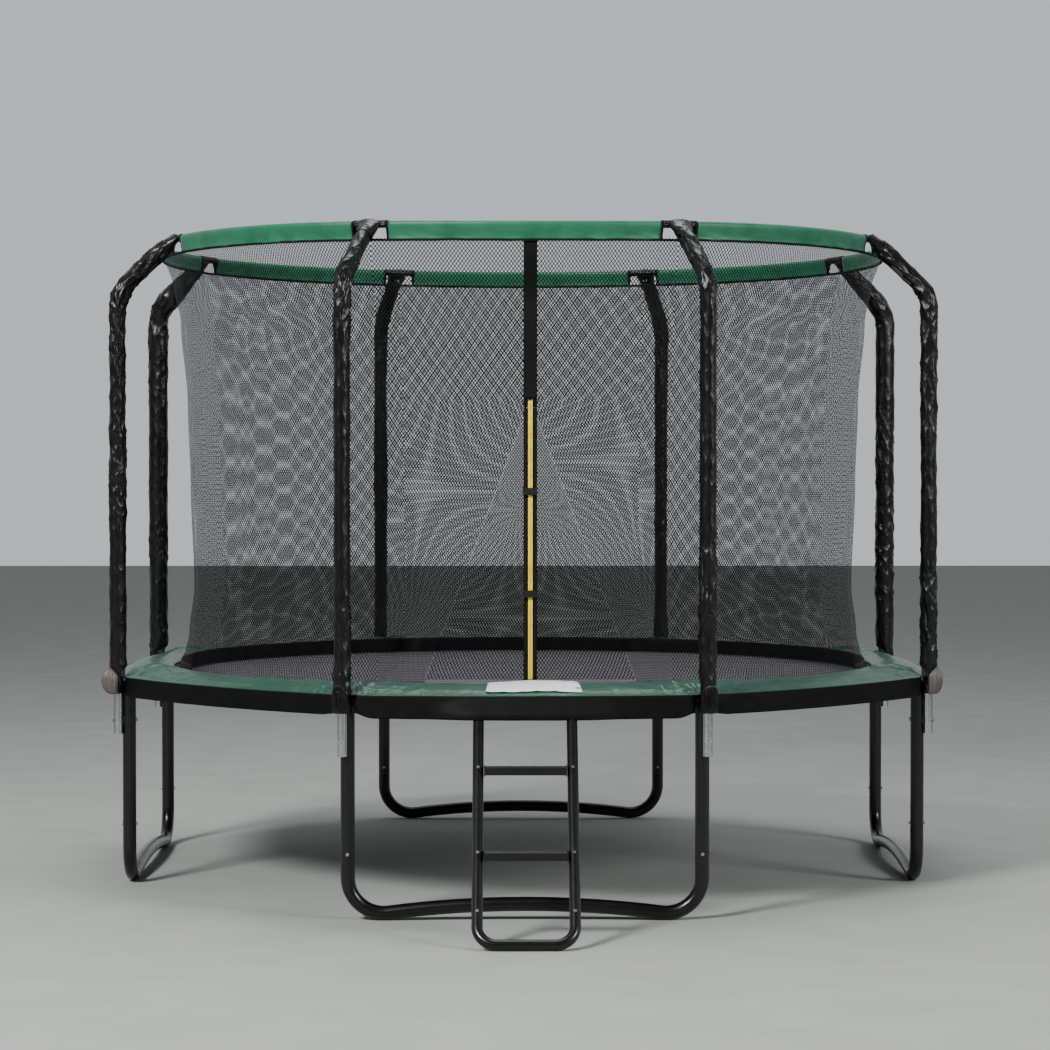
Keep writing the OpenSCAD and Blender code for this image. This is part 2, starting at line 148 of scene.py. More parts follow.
# sRGB hex to linear RGBA.
def hexColour(text):
    parts = [int(text[i:i + 2], 16) / 255 for i in (1, 3, 5)]
    return tuple(c / 12.92 if c <= 0.04045 else ((c + 0.055) / 1.055) ** 2.4 for c in parts) + (1.0,)


# Adds a node; settings are its own values, inputs its sockets' values or links.
def addNode(material, kind, settings=None, **inputs):
    node = material.node_tree.nodes.new(kind)
    for name, value in (settings or {}).items():
        setattr(node, name, value)
    for name, value in inputs.items():
        socket = node.inputs[int(name[2:])] if name[:2] == "in" else node.inputs[name.replace("_", " ")]
        if isinstance(value, bpy.types.NodeSocket):
            material.node_tree.links.new(value, socket)
        else:
            socket.default_value = value
    return node


# A material with one Principled shader; returns both.
def newMaterial(name, colour, metallic=0.0, roughness=0.5, **more):
    material = bpy.data.materials.new(name)
    material.use_nodes = True
    shader = material.node_tree.nodes["Principled BSDF"]
    shader.inputs["Base Color"].default_value = hexColour(colour)
    shader.inputs["Metallic"].default_value = metallic
    shader.inputs["Roughness"].default_value = roughness
    for key, value in more.items():
        shader.inputs[key.replace("_", " ")].default_value = value
    return material, shader


def link(material, output, socket):
    material.node_tree.links.new(output, socket)


def colourRamp(material, fac, stops):
    ramp = addNode(material, "ShaderNodeValToRGB", Fac=fac)
    elements = ramp.color_ramp.elements
    while len(elements) < len(stops):
        elements.new(0.5)
    for element, (place, colour) in zip(elements, stops):
        element.position = place
        element.color = hexColour(colour)
    return ramp.outputs["Color"]


# Object coordinates in metres, stretched by scale.
def objectPlace(material, scale=(1, 1, 1)):
    coords = addNode(material, "ShaderNodeTexCoord")
    place = addNode(material, "ShaderNodeMapping", Vector=coords.outputs["Object"], Scale=scale)
    return place.outputs["Vector"]


# The piece's own UV map, which is in metres on the cloth.
def clothPlace(material, turn=0.0, scale=(1, 1, 1)):
    uv = addNode(material, "ShaderNodeUVMap", {"uv_map": "cloth"})
    return addNode(material, "ShaderNodeMapping", Vector=uv.outputs["UV"], Rotation=(0, 0, turn),
                   Scale=scale).outputs["Vector"]


# Dust on cloth takes the edge off its mirror reflection.
def dimReflection(material, level):
    material.node_tree.nodes["Principled BSDF"].inputs["Specular IOR Level"].default_value = level


def bumpFrom(material, shader, height, strength, distance, after=None):
    extra = {"Normal": after} if after is not None else {}
    bump = addNode(material, "ShaderNodeBump", Height=height, Strength=strength, Distance=distance, **extra)
    link(material, bump.outputs["Normal"], shader.inputs["Normal"])
    return bump.outputs["Normal"]


def math2(material, operation, a, b=None):
    extra = {"in1": b} if b is not None else {}
    return addNode(material, "ShaderNodeMath", {"operation": operation}, in0=a, **extra).outputs["Value"]


def roughBetween(material, shader, fac, low, high):
    spread = addNode(material, "ShaderNodeMapRange", Value=fac, To_Min=low, To_Max=high)
    link(material, spread.outputs["Result"], shader.inputs["Roughness"])


# Two crossing sets of threads, pitch in metres; returns their heights.
def threadWaves(material, place, pitch, distort=0.6):
    waves = []
    for direction in ("X", "Y"):
        wave = addNode(material, "ShaderNodeTexWave", {"wave_type": "BANDS", "bands_direction": direction},
                       Vector=place, Scale=0.5 / pitch, Distortion=distort)
        wave.inputs["Detail"].default_value = 1.0
        waves.append(wave.outputs["Fac"])
    return waves


def powderCoat():
    # Black polyester powder coat on steel tube: deep gloss black with a faint orange peel,
    # and a dull film of dust and rain marks that breaks the reflections up.
    material, shader = newMaterial("blackPowderCoat", "#060607", roughness=0.3, IOR=1.5, Coat_Weight=0.2,
                                   Coat_Roughness=0.12)
    place = objectPlace(material)
    peel = addNode(material, "ShaderNodeTexNoise", Vector=place, Scale=420.0, Detail=2.0)   # 2 to 3 mm peel
    film = addNode(material, "ShaderNodeTexNoise", Vector=place, Scale=14.0, Detail=6.0, Roughness=0.65)
    link(material, colourRamp(material, film.outputs["Fac"], [(0.3, "#060607"), (0.72, "#0e0e10")]),
         shader.inputs["Base Color"])
    roughBetween(material, shader, film.outputs["Fac"], 0.2, 0.4)
    bumpFrom(material, shader, peel.outputs["Fac"], 0.12, 0.0006)
    return material


def galvanised(name, light, dark, rough):
    # Hot-dip galvanised or zinc-plated steel: bright grey, 8 to 15 mm crystal spangle, fine drawn lines.
    material, shader = newMaterial(name, light, metallic=1.0, roughness=rough)
    place = objectPlace(material)
    spangle = addNode(material, "ShaderNodeTexVoronoi", {"feature": "F1"}, Vector=place, Scale=90.0)
    drawn = addNode(material, "ShaderNodeTexNoise", Vector=objectPlace(material, (300, 300, 6)), Scale=1.0,
                    Detail=3.0)
    tone = math2(material, "MULTIPLY_ADD", spangle.outputs["Color"], 0.6)
    tone.node.inputs[2].default_value = 0.15
    link(material, colourRamp(material, tone, [(0.1, dark), (0.8, light)]), shader.inputs["Base Color"])
    roughBetween(material, shader, drawn.outputs["Fac"], rough * 0.6, rough * 1.5)
    bumpFrom(material, shader, drawn.outputs["Fac"], 0.15, 0.0004)
    return material


def coatedCloth(name, dark, light, rough, weave=0.0011, crease=1.0, coat=0.25):
    # PVC-coated polyester (tarpaulin): a smooth plastic skin over a woven scrim that just shows through,
    # pulled into soft creases that catch long bright highlights.
    material, shader = newMaterial(name, dark, roughness=rough, IOR=1.53, Coat_Weight=coat,
                                   Coat_Roughness=0.2)
    place = clothPlace(material)
    tone = addNode(material, "ShaderNodeTexNoise", Vector=place, Scale=5.0, Detail=5.0, Roughness=0.6)
    link(material, colourRamp(material, tone.outputs["Fac"], [(0.25, dark), (0.75, light)]),
         shader.inputs["Base Color"])
    warp, weft = threadWaves(material, place, weave, 0.3)
    scrim = math2(material, "MAXIMUM", warp, weft)
    first = bumpFrom(material, shader, scrim, 0.25, 0.00025)
    folds = addNode(material, "ShaderNodeTexNoise", Vector=clothPlace(material, 0.5, (1, 2.0, 1)), Scale=9.0,
                    Detail=2.0, Roughness=0.45, Distortion=0.6)
    # where the noise crosses its middle it makes a narrow crest, as a crease does
    crest = math2(material, "ABSOLUTE", math2(material, "SUBTRACT", folds.outputs["Fac"], 0.5))
    height = math2(material, "SUBTRACT", 1.0, math2(material, "POWER", crest, 0.9))
    bumpFrom(material, shader, height, min(0.5 * crease, 1.0), 0.010, first)
    roughBetween(material, shader, tone.outputs["Fac"], rough * 0.8, rough * 1.3)
    return material


def satinBand():
    # Green woven polyester with a satin face: even bright green, fine thread lines and a soft sheen.
    material, shader = newMaterial("greenSatinPolyester", "#1d6145", roughness=0.42, Sheen_Weight=0.15,
                                   Sheen_Roughness=0.4)
    place = clothPlace(material)
    tone = addNode(material, "ShaderNodeTexNoise", Vector=place, Scale=9.0, Detail=4.0)
    link(material, colourRamp(material, tone.outputs["Fac"], [(0.3, "#19583e"), (0.7, "#246e4f")]),
         shader.inputs["Base Color"])
    warp, weft = threadWaves(material, place, 0.0012, 0.2)
    bumpFrom(material, shader, math2(material, "MAXIMUM", warp, weft), 0.3, 0.0003)
    roughBetween(material, shader, tone.outputs["Fac"], 0.34, 0.52)
    return material


def wovenTape(name, dark, light):
    # Polypropylene webbing: ribs every 1.6 mm across the tape, dull black with a little sheen.
    material, shader = newMaterial(name, dark, roughness=0.65)
    warp, weft = threadWaves(material, clothPlace(material), 0.0016, 0.2)
    both = math2(material, "MULTIPLY", warp, weft)
    link(material, colourRamp(material, both, [(0.1, dark), (0.9, light)]), shader.inputs["Base Color"])
    bumpFrom(material, shader, both, 0.5, 0.0005)
    return material


def netMesh():
    # Knitted polyethylene net with diamond holes. Its cells are about 9 mm wide and 12 mm high, too fine
    # to show at a distance, so they are drawn about three fifths larger, with the same share of strand.
    material, shader = newMaterial("knittedNet", "#08080a", roughness=0.6)
    cellWide, cellHigh, strandShare = 0.0145, 0.0195, 0.27
    uv = addNode(material, "ShaderNodeUVMap", {"uv_map": "cloth"})
    parts = addNode(material, "ShaderNodeSeparateXYZ", Vector=uv.outputs["UV"])
    across = math2(material, "DIVIDE", parts.outputs["X"], cellWide)
    along = math2(material, "DIVIDE", parts.outputs["Y"], cellHigh)
    gaps = []
    for operation in ("ADD", "SUBTRACT"):
        lane = math2(material, "FRACT", math2(material, operation, across, along))
        gaps.append(math2(material, "GREATER_THAN", lane, strandShare))
    hole = math2(material, "MULTIPLY", gaps[0], gaps[1])
    link(material, math2(material, "SUBTRACT", 1.0, hole), shader.inputs["Alpha"])
    tone = addNode(material, "ShaderNodeTexNoise", Vector=clothPlace(material, 0, (1, 0.1, 1)), Scale=14.0,
                   Detail=3.0)
    link(material, colourRamp(material, tone.outputs["Fac"], [(0.3, "#050506"), (0.75, "#0e0f11")]),
         shader.inputs["Base Color"])
    return material


def matWeave():
    # Woven polypropylene (Permatron type) mat of flat black tapes 2.5 mm wide. Its purple grey colour is a
    # painted reflection of the sky at a low angle, with lighter dust in the noise; dust lies in the middle.
    material, shader = newMaterial("wovenPolypropylene", "#26242c", roughness=0.48, IOR=1.49,
                                   Sheen_Weight=0.35, Sheen_Roughness=0.35)
    place = clothPlace(material)
    warp, weft = threadWaves(material, place, 0.0026, 0.15)
    over = math2(material, "MULTIPLY", warp, weft)
    dust = addNode(material, "ShaderNodeTexNoise", Vector=place, Scale=2.2, Detail=8.0, Roughness=0.7)
    wear = math2(material, "ADD", math2(material, "MULTIPLY", over, 0.1), dust.outputs["Fac"])
    # both ends of this ramp are purple grey, a painted sky reflection over the black tapes; the lighter end
    # also stands for dust
    link(material, colourRamp(material, wear, [(0.35, "#1d1a24"), (0.85, "#3b3744")]),
         shader.inputs["Base Color"])
    roughBetween(material, shader, dust.outputs["Fac"], 0.36, 0.62)
    bumpFrom(material, shader, over, 0.12, 0.0004)
    return material


def zipTape(name, dark, light):
    # Dyed polyester zip tape: dull yellow cloth with a fine rib along its length.
    material, shader = newMaterial(name, light, roughness=0.55)
    place = objectPlace(material)
    rib = addNode(material, "ShaderNodeTexWave", {"wave_type": "BANDS", "bands_direction": "Z"}, Vector=place,
                  Scale=220.0, Distortion=0.4)
    stain = addNode(material, "ShaderNodeTexNoise", Vector=place, Scale=30.0, Detail=5.0)
    link(material, colourRamp(material, stain.outputs["Fac"], [(0.25, dark), (0.6, light)]),
         shader.inputs["Base Color"])
    bumpFrom(material, shader, rib.outputs["Fac"], 0.4, 0.0004)
    return material


def mouldedPlastic(name, dark, light, rough):
    # Injection-moulded polypropylene or acetal: fine spark-eroded grain, duller on the flat faces.
    material, shader = newMaterial(name, dark, roughness=rough, IOR=1.49)
    place = objectPlace(material)
    grain = addNode(material, "ShaderNodeTexNoise", Vector=place, Scale=900.0, Detail=3.0)
    cloud = addNode(material, "ShaderNodeTexNoise", Vector=place, Scale=25.0, Detail=4.0)
    link(material, colourRamp(material, cloud.outputs["Fac"], [(0.3, dark), (0.75, light)]),
         shader.inputs["Base Color"])
    roughBetween(material, shader, cloud.outputs["Fac"], rough * 0.8, rough * 1.25)
    bumpFrom(material, shader, grain.outputs["Fac"], 0.2, 0.0003)
    return material


def paleStage(name, colour):
    # Matt studio floor with a barely visible fleck.
    material, shader = newMaterial(name, colour, roughness=0.85)
    fleck = addNode(material, "ShaderNodeTexNoise", Vector=objectPlace(material), Scale=3.0, Detail=4.0)
    link(material, colourRamp(material, fleck.outputs["Fac"], [(0.3, colour), (0.7, "#959993")]),
         shader.inputs["Base Color"])
    return material


blackCoat = powderCoat()
poleZinc = galvanised("galvanisedTube", "#c9cdd0", "#a9aeb2", 0.14)
boltZinc = galvanised("zincPlate", "#cfd2d4", "#8b8f92", 0.3)
sleevePvc = coatedCloth("blackSleevePvc", "#030304", "#070708", 0.32, crease=0.4, coat=0.08)
skirtPvc = coatedCloth("blackSkirtPvc", "#030304", "#070708", 0.6, crease=0.35, coat=0.0)
padPvc = coatedCloth("greenPadPvc", "#0f3b2a", "#194f3b", 0.34, crease=1.6, coat=0.15)
bandCloth = satinBand()
blackTape = wovenTape("blackWebbing", "#050506", "#0e0e10")
netCloth = netMesh()
matCloth = matWeave()
zipCloth = zipTape("yellowZipTape", "#e6b400", "#ffe000")
blackPlastic = mouldedPlastic("blackAcetal", "#070708", "#101012", 0.42)
foamGrey = mouldedPlastic("closedCellFoam", "#242528", "#34353a", 0.85)
# black PVC boots with a light brown grey colour that is a painted rim highlight, for the two side poles seen
# edge-on
sideBootRimHighlightPvc = coatedCloth("paintedRimHighlightBootPvc", "#3a3431", "#6d645e", 0.5, crease=0.7, coat=0.05)
toothPlastic = mouldedPlastic("yellowZipTeeth", "#d9b820", "#f4de4a", 0.35)
stitchThread = wovenTape("greyThread", "#55555a", "#77777c")
patchCloth = coatedCloth("whitePatchPvc", "#cfd3cf", "#e4e7e3", 0.4, crease=0.3, coat=0.1)
for cloth, level in ((skirtPvc, 0.12), (sleevePvc, 0.3), (blackTape, 0.15), (netCloth, 0.1),
                     (blackCoat, 0.35), (bandCloth, 0.35)):
    dimReflection(cloth, level)
print("materials made:", len(bpy.data.materials))


# tools for meshes

def deselectAll():
    if bpy.context.object and bpy.context.object.mode != "OBJECT":
        bpy.ops.object.mode_set(mode="OBJECT")
    bpy.ops.object.select_all(action="DESELECT")


def takeUp(piece):
    deselectAll()
    piece.select_set(True)
    bpy.context.view_layer.objects.active = piece


# Gives a piece its material, its body and the CAD nodes it stands for.
def dress(piece, material, body="root", replaces=()):
    piece.data.materials.clear()
    piece.data.materials.append(material)
    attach(piece, body)
    if replaces:
        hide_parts(*replaces)
    return piece


def makeMesh(name, points, faces, uvs=None):
    mesh = bpy.data.meshes.new(name)
    mesh.from_pydata([tuple(p) for p in points], [], faces)
    if uvs:
        layer = mesh.uv_layers.new(name="cloth")
        layer.data.foreach_set("uv", [c for uv in uvs for c in uv])
    piece = bpy.data.objects.new(name, mesh)
    scene.collection.objects.link(piece)
    for polygon in mesh.polygons:
        polygon.use_smooth = True
    return piece


# A sheet from place(u, v), u across and v along, each 0 to 1; UVs are metres on the cloth.
def clothGrid(name, rows, columns, place, closed=False, size=(1, 1)):
    wide, high = size
    points = []
    for i in range(rows + 1):
        for j in range(columns + (0 if closed else 1)):
            points.append(place(j / columns, i / rows))
    stride = columns if closed else columns + 1
    faces, uvs = [], []
    for i in range(rows):
        for j in range(columns):
            j2 = (j + 1) % columns if closed else j + 1
            faces.append((i * stride + j, i * stride + j2, (i + 1) * stride + j2, (i + 1) * stride + j))
            u0, u1 = j / columns * wide, (j + 1) / columns * wide
            v0, v1 = i / rows * high, (i + 1) / rows * high
            uvs += [(u0, v0), (u1, v0), (u1, v1), (u0, v1)]
    piece = makeMesh(name, points, faces, uvs)
    piece.data.validate()
    return piece


def applyModifier(piece, kind, **settings):
    takeUp(piece)
    modifier = piece.modifiers.new(kind.title(), kind)
    for name, value in settings.items():
        setattr(modifier, name, value)
    bpy.ops.object.modifier_apply(modifier=modifier.name)


def thicken(piece, thickness, offset=0.0):
    applyModifier(piece, "SOLIDIFY", thickness=thickness, offset=offset)


# pole sleeves

sleeveFacts = {
    "radius": 0.0335, "wrinkle": 0.0070, "lowZ": boxOf("pole_boots")[0].z - 0.004, "around": 48, "along": 400,
    # the two sleeves at the sides towards the back hang looser
    "loose": {1: 0.0090, 4: 0.0105},
}


# Point (out, up) and lean at a distance s up the middle of a pole from its sleeve's foot.
def poleLine(s):
    straight = poleBendZ - sleeveFacts["lowZ"]
    bend = poleBendR * poleTilt
    if s <= straight:
        return poleRadius, sleeveFacts["lowZ"] + s, 0.0
    if s <= straight + bend:
        a = (s - straight) / poleBendR
        return poleRadius - poleBendR * (1 - math.cos(a)), poleBendZ + poleBendR * math.sin(a), a
    rest = s - straight - bend
    out = poleRadius - poleBendR * (1 - math.cos(poleTilt)) - rest * math.sin(poleTilt)
    up = poleBendZ + poleBendR * math.sin(poleTilt) + rest * math.cos(poleTilt)
    return out, up, poleTilt


sleeveLength = poleBendZ - sleeveFacts["lowZ"] + poleBendR * poleTilt + poleTip - 0.03


def poleFrame(k, s):
    out, up, lean = poleLine(s)
    spin = Matrix.Rotation(legAngle(k), 3, "Z")
    centre = spin @ Vector((out, 0, up + ringLift(legAngle(k)) * smooth((up - 2.3) / 0.4)))
    outward = spin @ Vector((math.cos(lean), 0, math.sin(lean)))
    return centre, outward, spin @ Vector((0, 1, 0))


# PVC over foam: long flats, diagonal creases both ways, crushed where it bends and at its foot.
def sleeveRadius(k, around, s):
    bendAt = poleBendZ - sleeveFacts["lowZ"] + poleBendR * poleTilt / 2
    crush = 0.30 + 0.45 * smooth(noise.noise(Vector((k * 3.3, 0.5, s * 2.3))) * 1.8 + 0.4)
    crush += 0.35 * math.exp(-((s - bendAt) / 0.10) ** 2) + 0.45 * math.exp(-(s / 0.16) ** 2)
    oval = 0.0020 * math.cos(2 * around + 3.0 * noise.noise(Vector((k * 1.7, s * 1.6, 0.0))))
    left, right = around + s * 9, around - s * 7
    creases = ridge(Vector((math.cos(left) * 0.9, math.sin(left) * 0.9, s * 5.0 + k * 13.7)), 2.4)
    creases += 0.8 * ridge(Vector((math.cos(right) * 1.1, math.sin(right) * 1.1, s * 8.5 + k * 7.1)), 3.0)
    fine = ridge(Vector((math.cos(left) * 1.7, math.sin(left) * 1.7, s * 21.0 + k * 3.9)), 3.0)
    creases += 0.5 * fine * crush
    soft = noise.noise(Vector((math.cos(around) * 0.7, math.sin(around) * 0.7, s * 6.0 + k * 5.0)))
    near = smooth(s / 0.03) * smooth((sleeveLength - s) / 0.03)
    loose = sleeveFacts["loose"].get(k, 0.0) * smooth((s - 0.05) / 0.15) * smooth((sleeveLength - s) / 0.25)
    folds = sleeveFacts["wrinkle"] * crush * (creases - 0.45) + 0.002 * soft
    return sleeveFacts["radius"] - 0.0015 + loose + near * (oval + folds)


for k in range(1, bayCount + 1):
    def sleevePlace(u, v, k=k):
        s = v * sleeveLength
        around = u * math.tau
        centre, outward, side = poleFrame(k, s)
        r = sleeveRadius(k, around, s)
        # pressed flat where the frame's rail and leg stand against it
        inward = max(-math.cos(around), 0.0) * (1 - smooth((sleeveFacts["lowZ"] + s - padHigh.z) / 0.03))
        r -= inward * max(r - 0.0205, 0)
        return centre + (outward * math.cos(around) + side * math.sin(around)) * r
    sleeve = clothGrid("poleSleeve_%d" % k, sleeveFacts["along"], sleeveFacts["around"], sleevePlace,
                       closed=True, size=(math.tau * sleeveFacts["radius"], sleeveLength))
    thicken(sleeve, 0.0008, 1.0)
    dress(sleeve, sleevePvc, replaces=["pole_sleeves"])
print("pole sleeves made")


# safety net

netFacts = {
    "lowZ": 0.926, "sideLowZ": 0.893, "frontLowZ": 0.903, "highZ": bandLow.z + 0.006, "ripple": 0.0025,
    "rows": 60, "columns": 44,
    # distance out to the net's corners and to the middle of its sides, by height
    "corner": [(0.893, 1.537), (0.926, 1.530), (1.05, 1.520), (1.25, 1.500), (1.70, 1.516), (2.05, 1.528),
               (2.40, 1.550), (2.67, 1.588)],
    "middle": [(0.893, 1.528), (0.926, 1.515), (0.95, 1.496), (1.05, 1.474), (1.25, 1.451), (1.70, 1.467),
               (2.05, 1.479), (2.40, 1.510), (2.55, 1.542), (2.67, 1.582)],
    "front": [(0.893, 1.528), (0.93, doorY), (2.06, doorY), (2.40, 1.512), (2.67, 1.582)],
}
frontBay = 6


# A point of the net in bay k, x01 from -1 at one corner to 1 at the other.
def netPoint(k, x01, z, ripple=1.0):
    corner = follow(netFacts["corner"], z)
    cornerOut = corner * math.cos(halfBay)
    middle = follow(netFacts["front" if k == frontBay else "middle"], z)
    out = cornerOut + (middle - cornerOut) * (1 - x01 * x01)
    sideways = x01 * corner * math.sin(halfBay)
    loose = smooth((1 - abs(x01)) / 0.2) * smooth((z - 0.93) / 0.15) * smooth((2.65 - z) / 0.15)
    wave = math.sin(sideways * 47 + k * 1.7 + 0.6 * math.sin(z * 2.3 + k)) * 0.5
    wave += noise.noise(Vector((sideways * 7 + k * 5, z * 0.8, k)))
    shift = netFacts["ripple"] * wave * loose * ripple
    if k == frontBay:
        local = -sideways - doorX
        edge = doorHalf * (1 - (z - doorLowZ) / (doorHighZ - doorLowZ)) if z < doorHighZ else 0.0
        flat = smooth((0.12 - (abs(local) - max(edge, 0.02))) / 0.1) if z < doorHighZ + 0.1 else 0.0
        flat *= smooth((doorHighZ + 0.1 - z) / 0.1)
        out = out * (1 - flat) + doorY * flat
        shift *= 1 - flat
    angle = k * bayAngle
    normal = Vector((math.cos(angle), math.sin(angle), 0))
    side = Vector((-math.sin(angle), math.cos(angle), 0))
    lift = ringLift(angle + math.atan2(sideways, out)) * smooth((z - 2.3) / 0.35)
    return normal * (out + shift) + side * sideways + Vector((0, 0, z + lift))


netHeight = netFacts["highZ"] - netFacts["lowZ"]


# The black foot is lower at the door and on the two sides next to it.
def netLow(k):
    if k == frontBay:
        return netFacts["frontLowZ"]
    return netFacts["sideLowZ"] if k in (frontBay - 1, frontBay + 1) else netFacts["lowZ"]


netWidth = 2 * 1.6 * math.sin(halfBay)
for k in range(1, bayCount + 1):
    if k == frontBay:
        continue
    def netPlace(u, v, k=k):
        return netPoint(k, u * 2 - 1, netLow(k) + v * (netFacts["highZ"] - netLow(k)))
    bayNet = clothGrid("netSide_%d" % k, netFacts["rows"], netFacts["columns"], netPlace,
                       size=(netWidth, netHeight))
    dress(bayNet, netCloth, replaces=["net_wall"])


# How far a flap's slanted edge is from the zip, at a height.
def hingeX(z):
    return doorHalf * (doorHighZ - z) / (doorHighZ - doorLowZ)


def frontHalf(side):
    def place(u, v):
        z = netLow(frontBay) + v * (netFacts["highZ"] - netLow(frontBay))
        corner = follow(netFacts["corner"], z) * math.sin(halfBay)
        edge = doorX + side * (min(hingeX(z), doorHalf) + 0.001 if z < doorHighZ else 0.0)
        x = edge + (side * corner - edge) * (u if side > 0 else 1 - u)
        return netPoint(frontBay, x / corner, z)
    return place


for side, word in ((-1, "left"), (1, "right")):
    halfWidth = netWidth / 2
    half = clothGrid("netFront_" + word, 100, 30, frontHalf(side), size=(halfWidth, netHeight))
    dress(half, netCloth, replaces=["net_wall"])

for side, word in ((-1, "left"), (1, "right")):
    def flapPlace(u, v, side=side):
        z = doorLowZ + v * (doorHighZ - doorLowZ - 0.03)
        x = 0.006 + (hingeX(z) - 0.008) * (u if side > 0 else 1 - u)
        loose = math.sin(math.pi * min(max((x - 0.01) / max(hingeX(z), 0.02), 0), 1))
        dent = 0.004 * loose * math.sin(x * 40 + z * 3) * smooth((z - doorLowZ) / 0.1)
        return Vector((doorX + side * x, -doorY - dent, z))
    flap = clothGrid("doorNet_" + word, 70, 20, flapPlace, size=(doorHalf, doorHighZ - doorLowZ))
    dress(flap, netCloth, "door_" + word, ["door_flap_" + word])
print("net made")


# A closed loop of cross-section, place(u, v), swept all round (v closed) with u closed too.
def ringGrid(name, rows, columns, place, uvSize):
    points = [place(j / columns, i) for i in range(rows) for j in range(columns)]
    faces, uvs = [], []
    wide, long = uvSize
    for i in range(rows):
        i2 = (i + 1) % rows
        for j in range(columns):
            j2 = (j + 1) % columns
            faces.append((i * columns + j, i2 * columns + j, i2 * columns + j2, i * columns + j2))
            v0, v1 = i / rows * long, (i + 1) / rows * long
            u0, u1 = j / columns * wide, (j + 1) / columns * wide
            uvs += [(u0, v0), (u0, v1), (u1, v1), (u1, v0)]
    return makeMesh(name, points, faces, uvs)


# Turns a closed mesh's faces outward.
def faceOut(piece):
    takeUp(piece)
    bpy.ops.object.mode_set(mode="EDIT")
    bpy.ops.mesh.select_all(action="SELECT")
    bpy.ops.mesh.normals_make_consistent(inside=False)
    bpy.ops.object.mode_set(mode="OBJECT")


# base band of the net

# The solid black foot of the net: a circle on the mat below, the net's own line above.
def bandPoint(k, x01, v):
    high = netLow(k)
    z = baseFacts["lowZ"] + (high - baseFacts["lowZ"]) * v
    angle = k * bayAngle + math.atan2(x01 * math.sin(halfBay), math.cos(halfBay) + (1 - math.cos(halfBay)) *
                                      (1 - x01 * x01))
    foot = polar(baseFacts["footR"], angle, z)
    head = netPoint(k, x01, high, 0.0)
    head.z = z
    crease = baseFacts["fold"] * noise.noise(Vector((x01 * 9 + k * 3, v * 0.7, 2.0)))
    outward = Vector((math.cos(angle), math.sin(angle), 0))
    return foot.lerp(head, smooth(v)) + outward * crease * math.sin(math.pi * v)


baseFacts = {"lowZ": 0.860, "footR": 1.538, "fold": 0.006}
for k in range(1, bayCount + 1):
    def basePlace(u, v, k=k):
        return bandPoint(k, u * 2 - 1, v)
    tall = netLow(k) - baseFacts["lowZ"]
    foot = clothGrid("netFoot_%d" % k, 6, 48, basePlace, size=(1.2, tall))
    thicken(foot, 0.0012)
    dress(foot, skirtPvc, replaces=["net_base_band"])
print("net foot made")


# strips, zip and buckle straps

doorFacts = {
    "stripHalf": 0.0265, "zipHalf": 0.0085, "thick": 0.0014, "headGap": 0.032, "toothPitch": 0.0042,
    "stripOut": 0.0016,      # how far the strip stands off the net
}


# Half of the black strip, from inner to outer beside the zip; it moves a little with its net.
def stripPlace(side, lowZ, highZ, inner, outer, out):
    def place(u, v):
        z = lowZ + v * (highZ - lowZ)
        x = inner + (outer - inner) * u
        if z > doorHighZ + 0.001:
            corner = follow(netFacts["corner"], z) * math.sin(halfBay)
            p = netPoint(frontBay, (doorX + side * x) / corner, z, 0.0)
            return p + Vector((0, -out, 0))
        bow = 0.0015 * math.sin(z * 21)
        return Vector((doorX + side * x, -doorY - out + bow * 0.2, z))
    return place


for side, word in ((-1, "left"), (1, "right")):
    order = (lambda u: u) if side > 0 else (lambda u: 1 - u)
    base = stripPlace(side, doorLowZ - 0.001, doorHighZ - doorFacts["headGap"], doorFacts["zipHalf"],
                      doorFacts["stripHalf"], doorFacts["stripOut"])
    strip = clothGrid("doorStrip_" + word, 120, 3, lambda u, v, f=base, o=order: f(o(u), v),
                      size=(doorFacts["stripHalf"], doorHighZ - doorLowZ))
    thicken(strip, doorFacts["thick"])
    dress(strip, blackTape, "door_" + word)

topPlace = stripPlace(1, doorHighZ + 0.002, netFacts["highZ"] - 0.003, -doorFacts["stripHalf"],
                      doorFacts["stripHalf"], doorFacts["stripOut"])
topStrip = clothGrid("topStrip", 60, 6, topPlace,
                     size=(2 * doorFacts["stripHalf"], netFacts["highZ"] - doorHighZ))
thicken(topStrip, doorFacts["thick"])
dress(topStrip, blackTape)

for side, word in ((-1, "left"), (1, "right")):
    inner, outer = sorted((side * 0.0092, side * doorFacts["stripHalf"]))
    cheekPlace = stripPlace(1, doorHighZ - 0.0305, doorHighZ + 0.003, inner, outer, -doorFacts["stripOut"])
    cheek = clothGrid("zipCheek_" + word, 8, 3, cheekPlace, size=(0.018, 0.033))
    thicken(cheek, doorFacts["thick"])
    dress(cheek, blackTape)

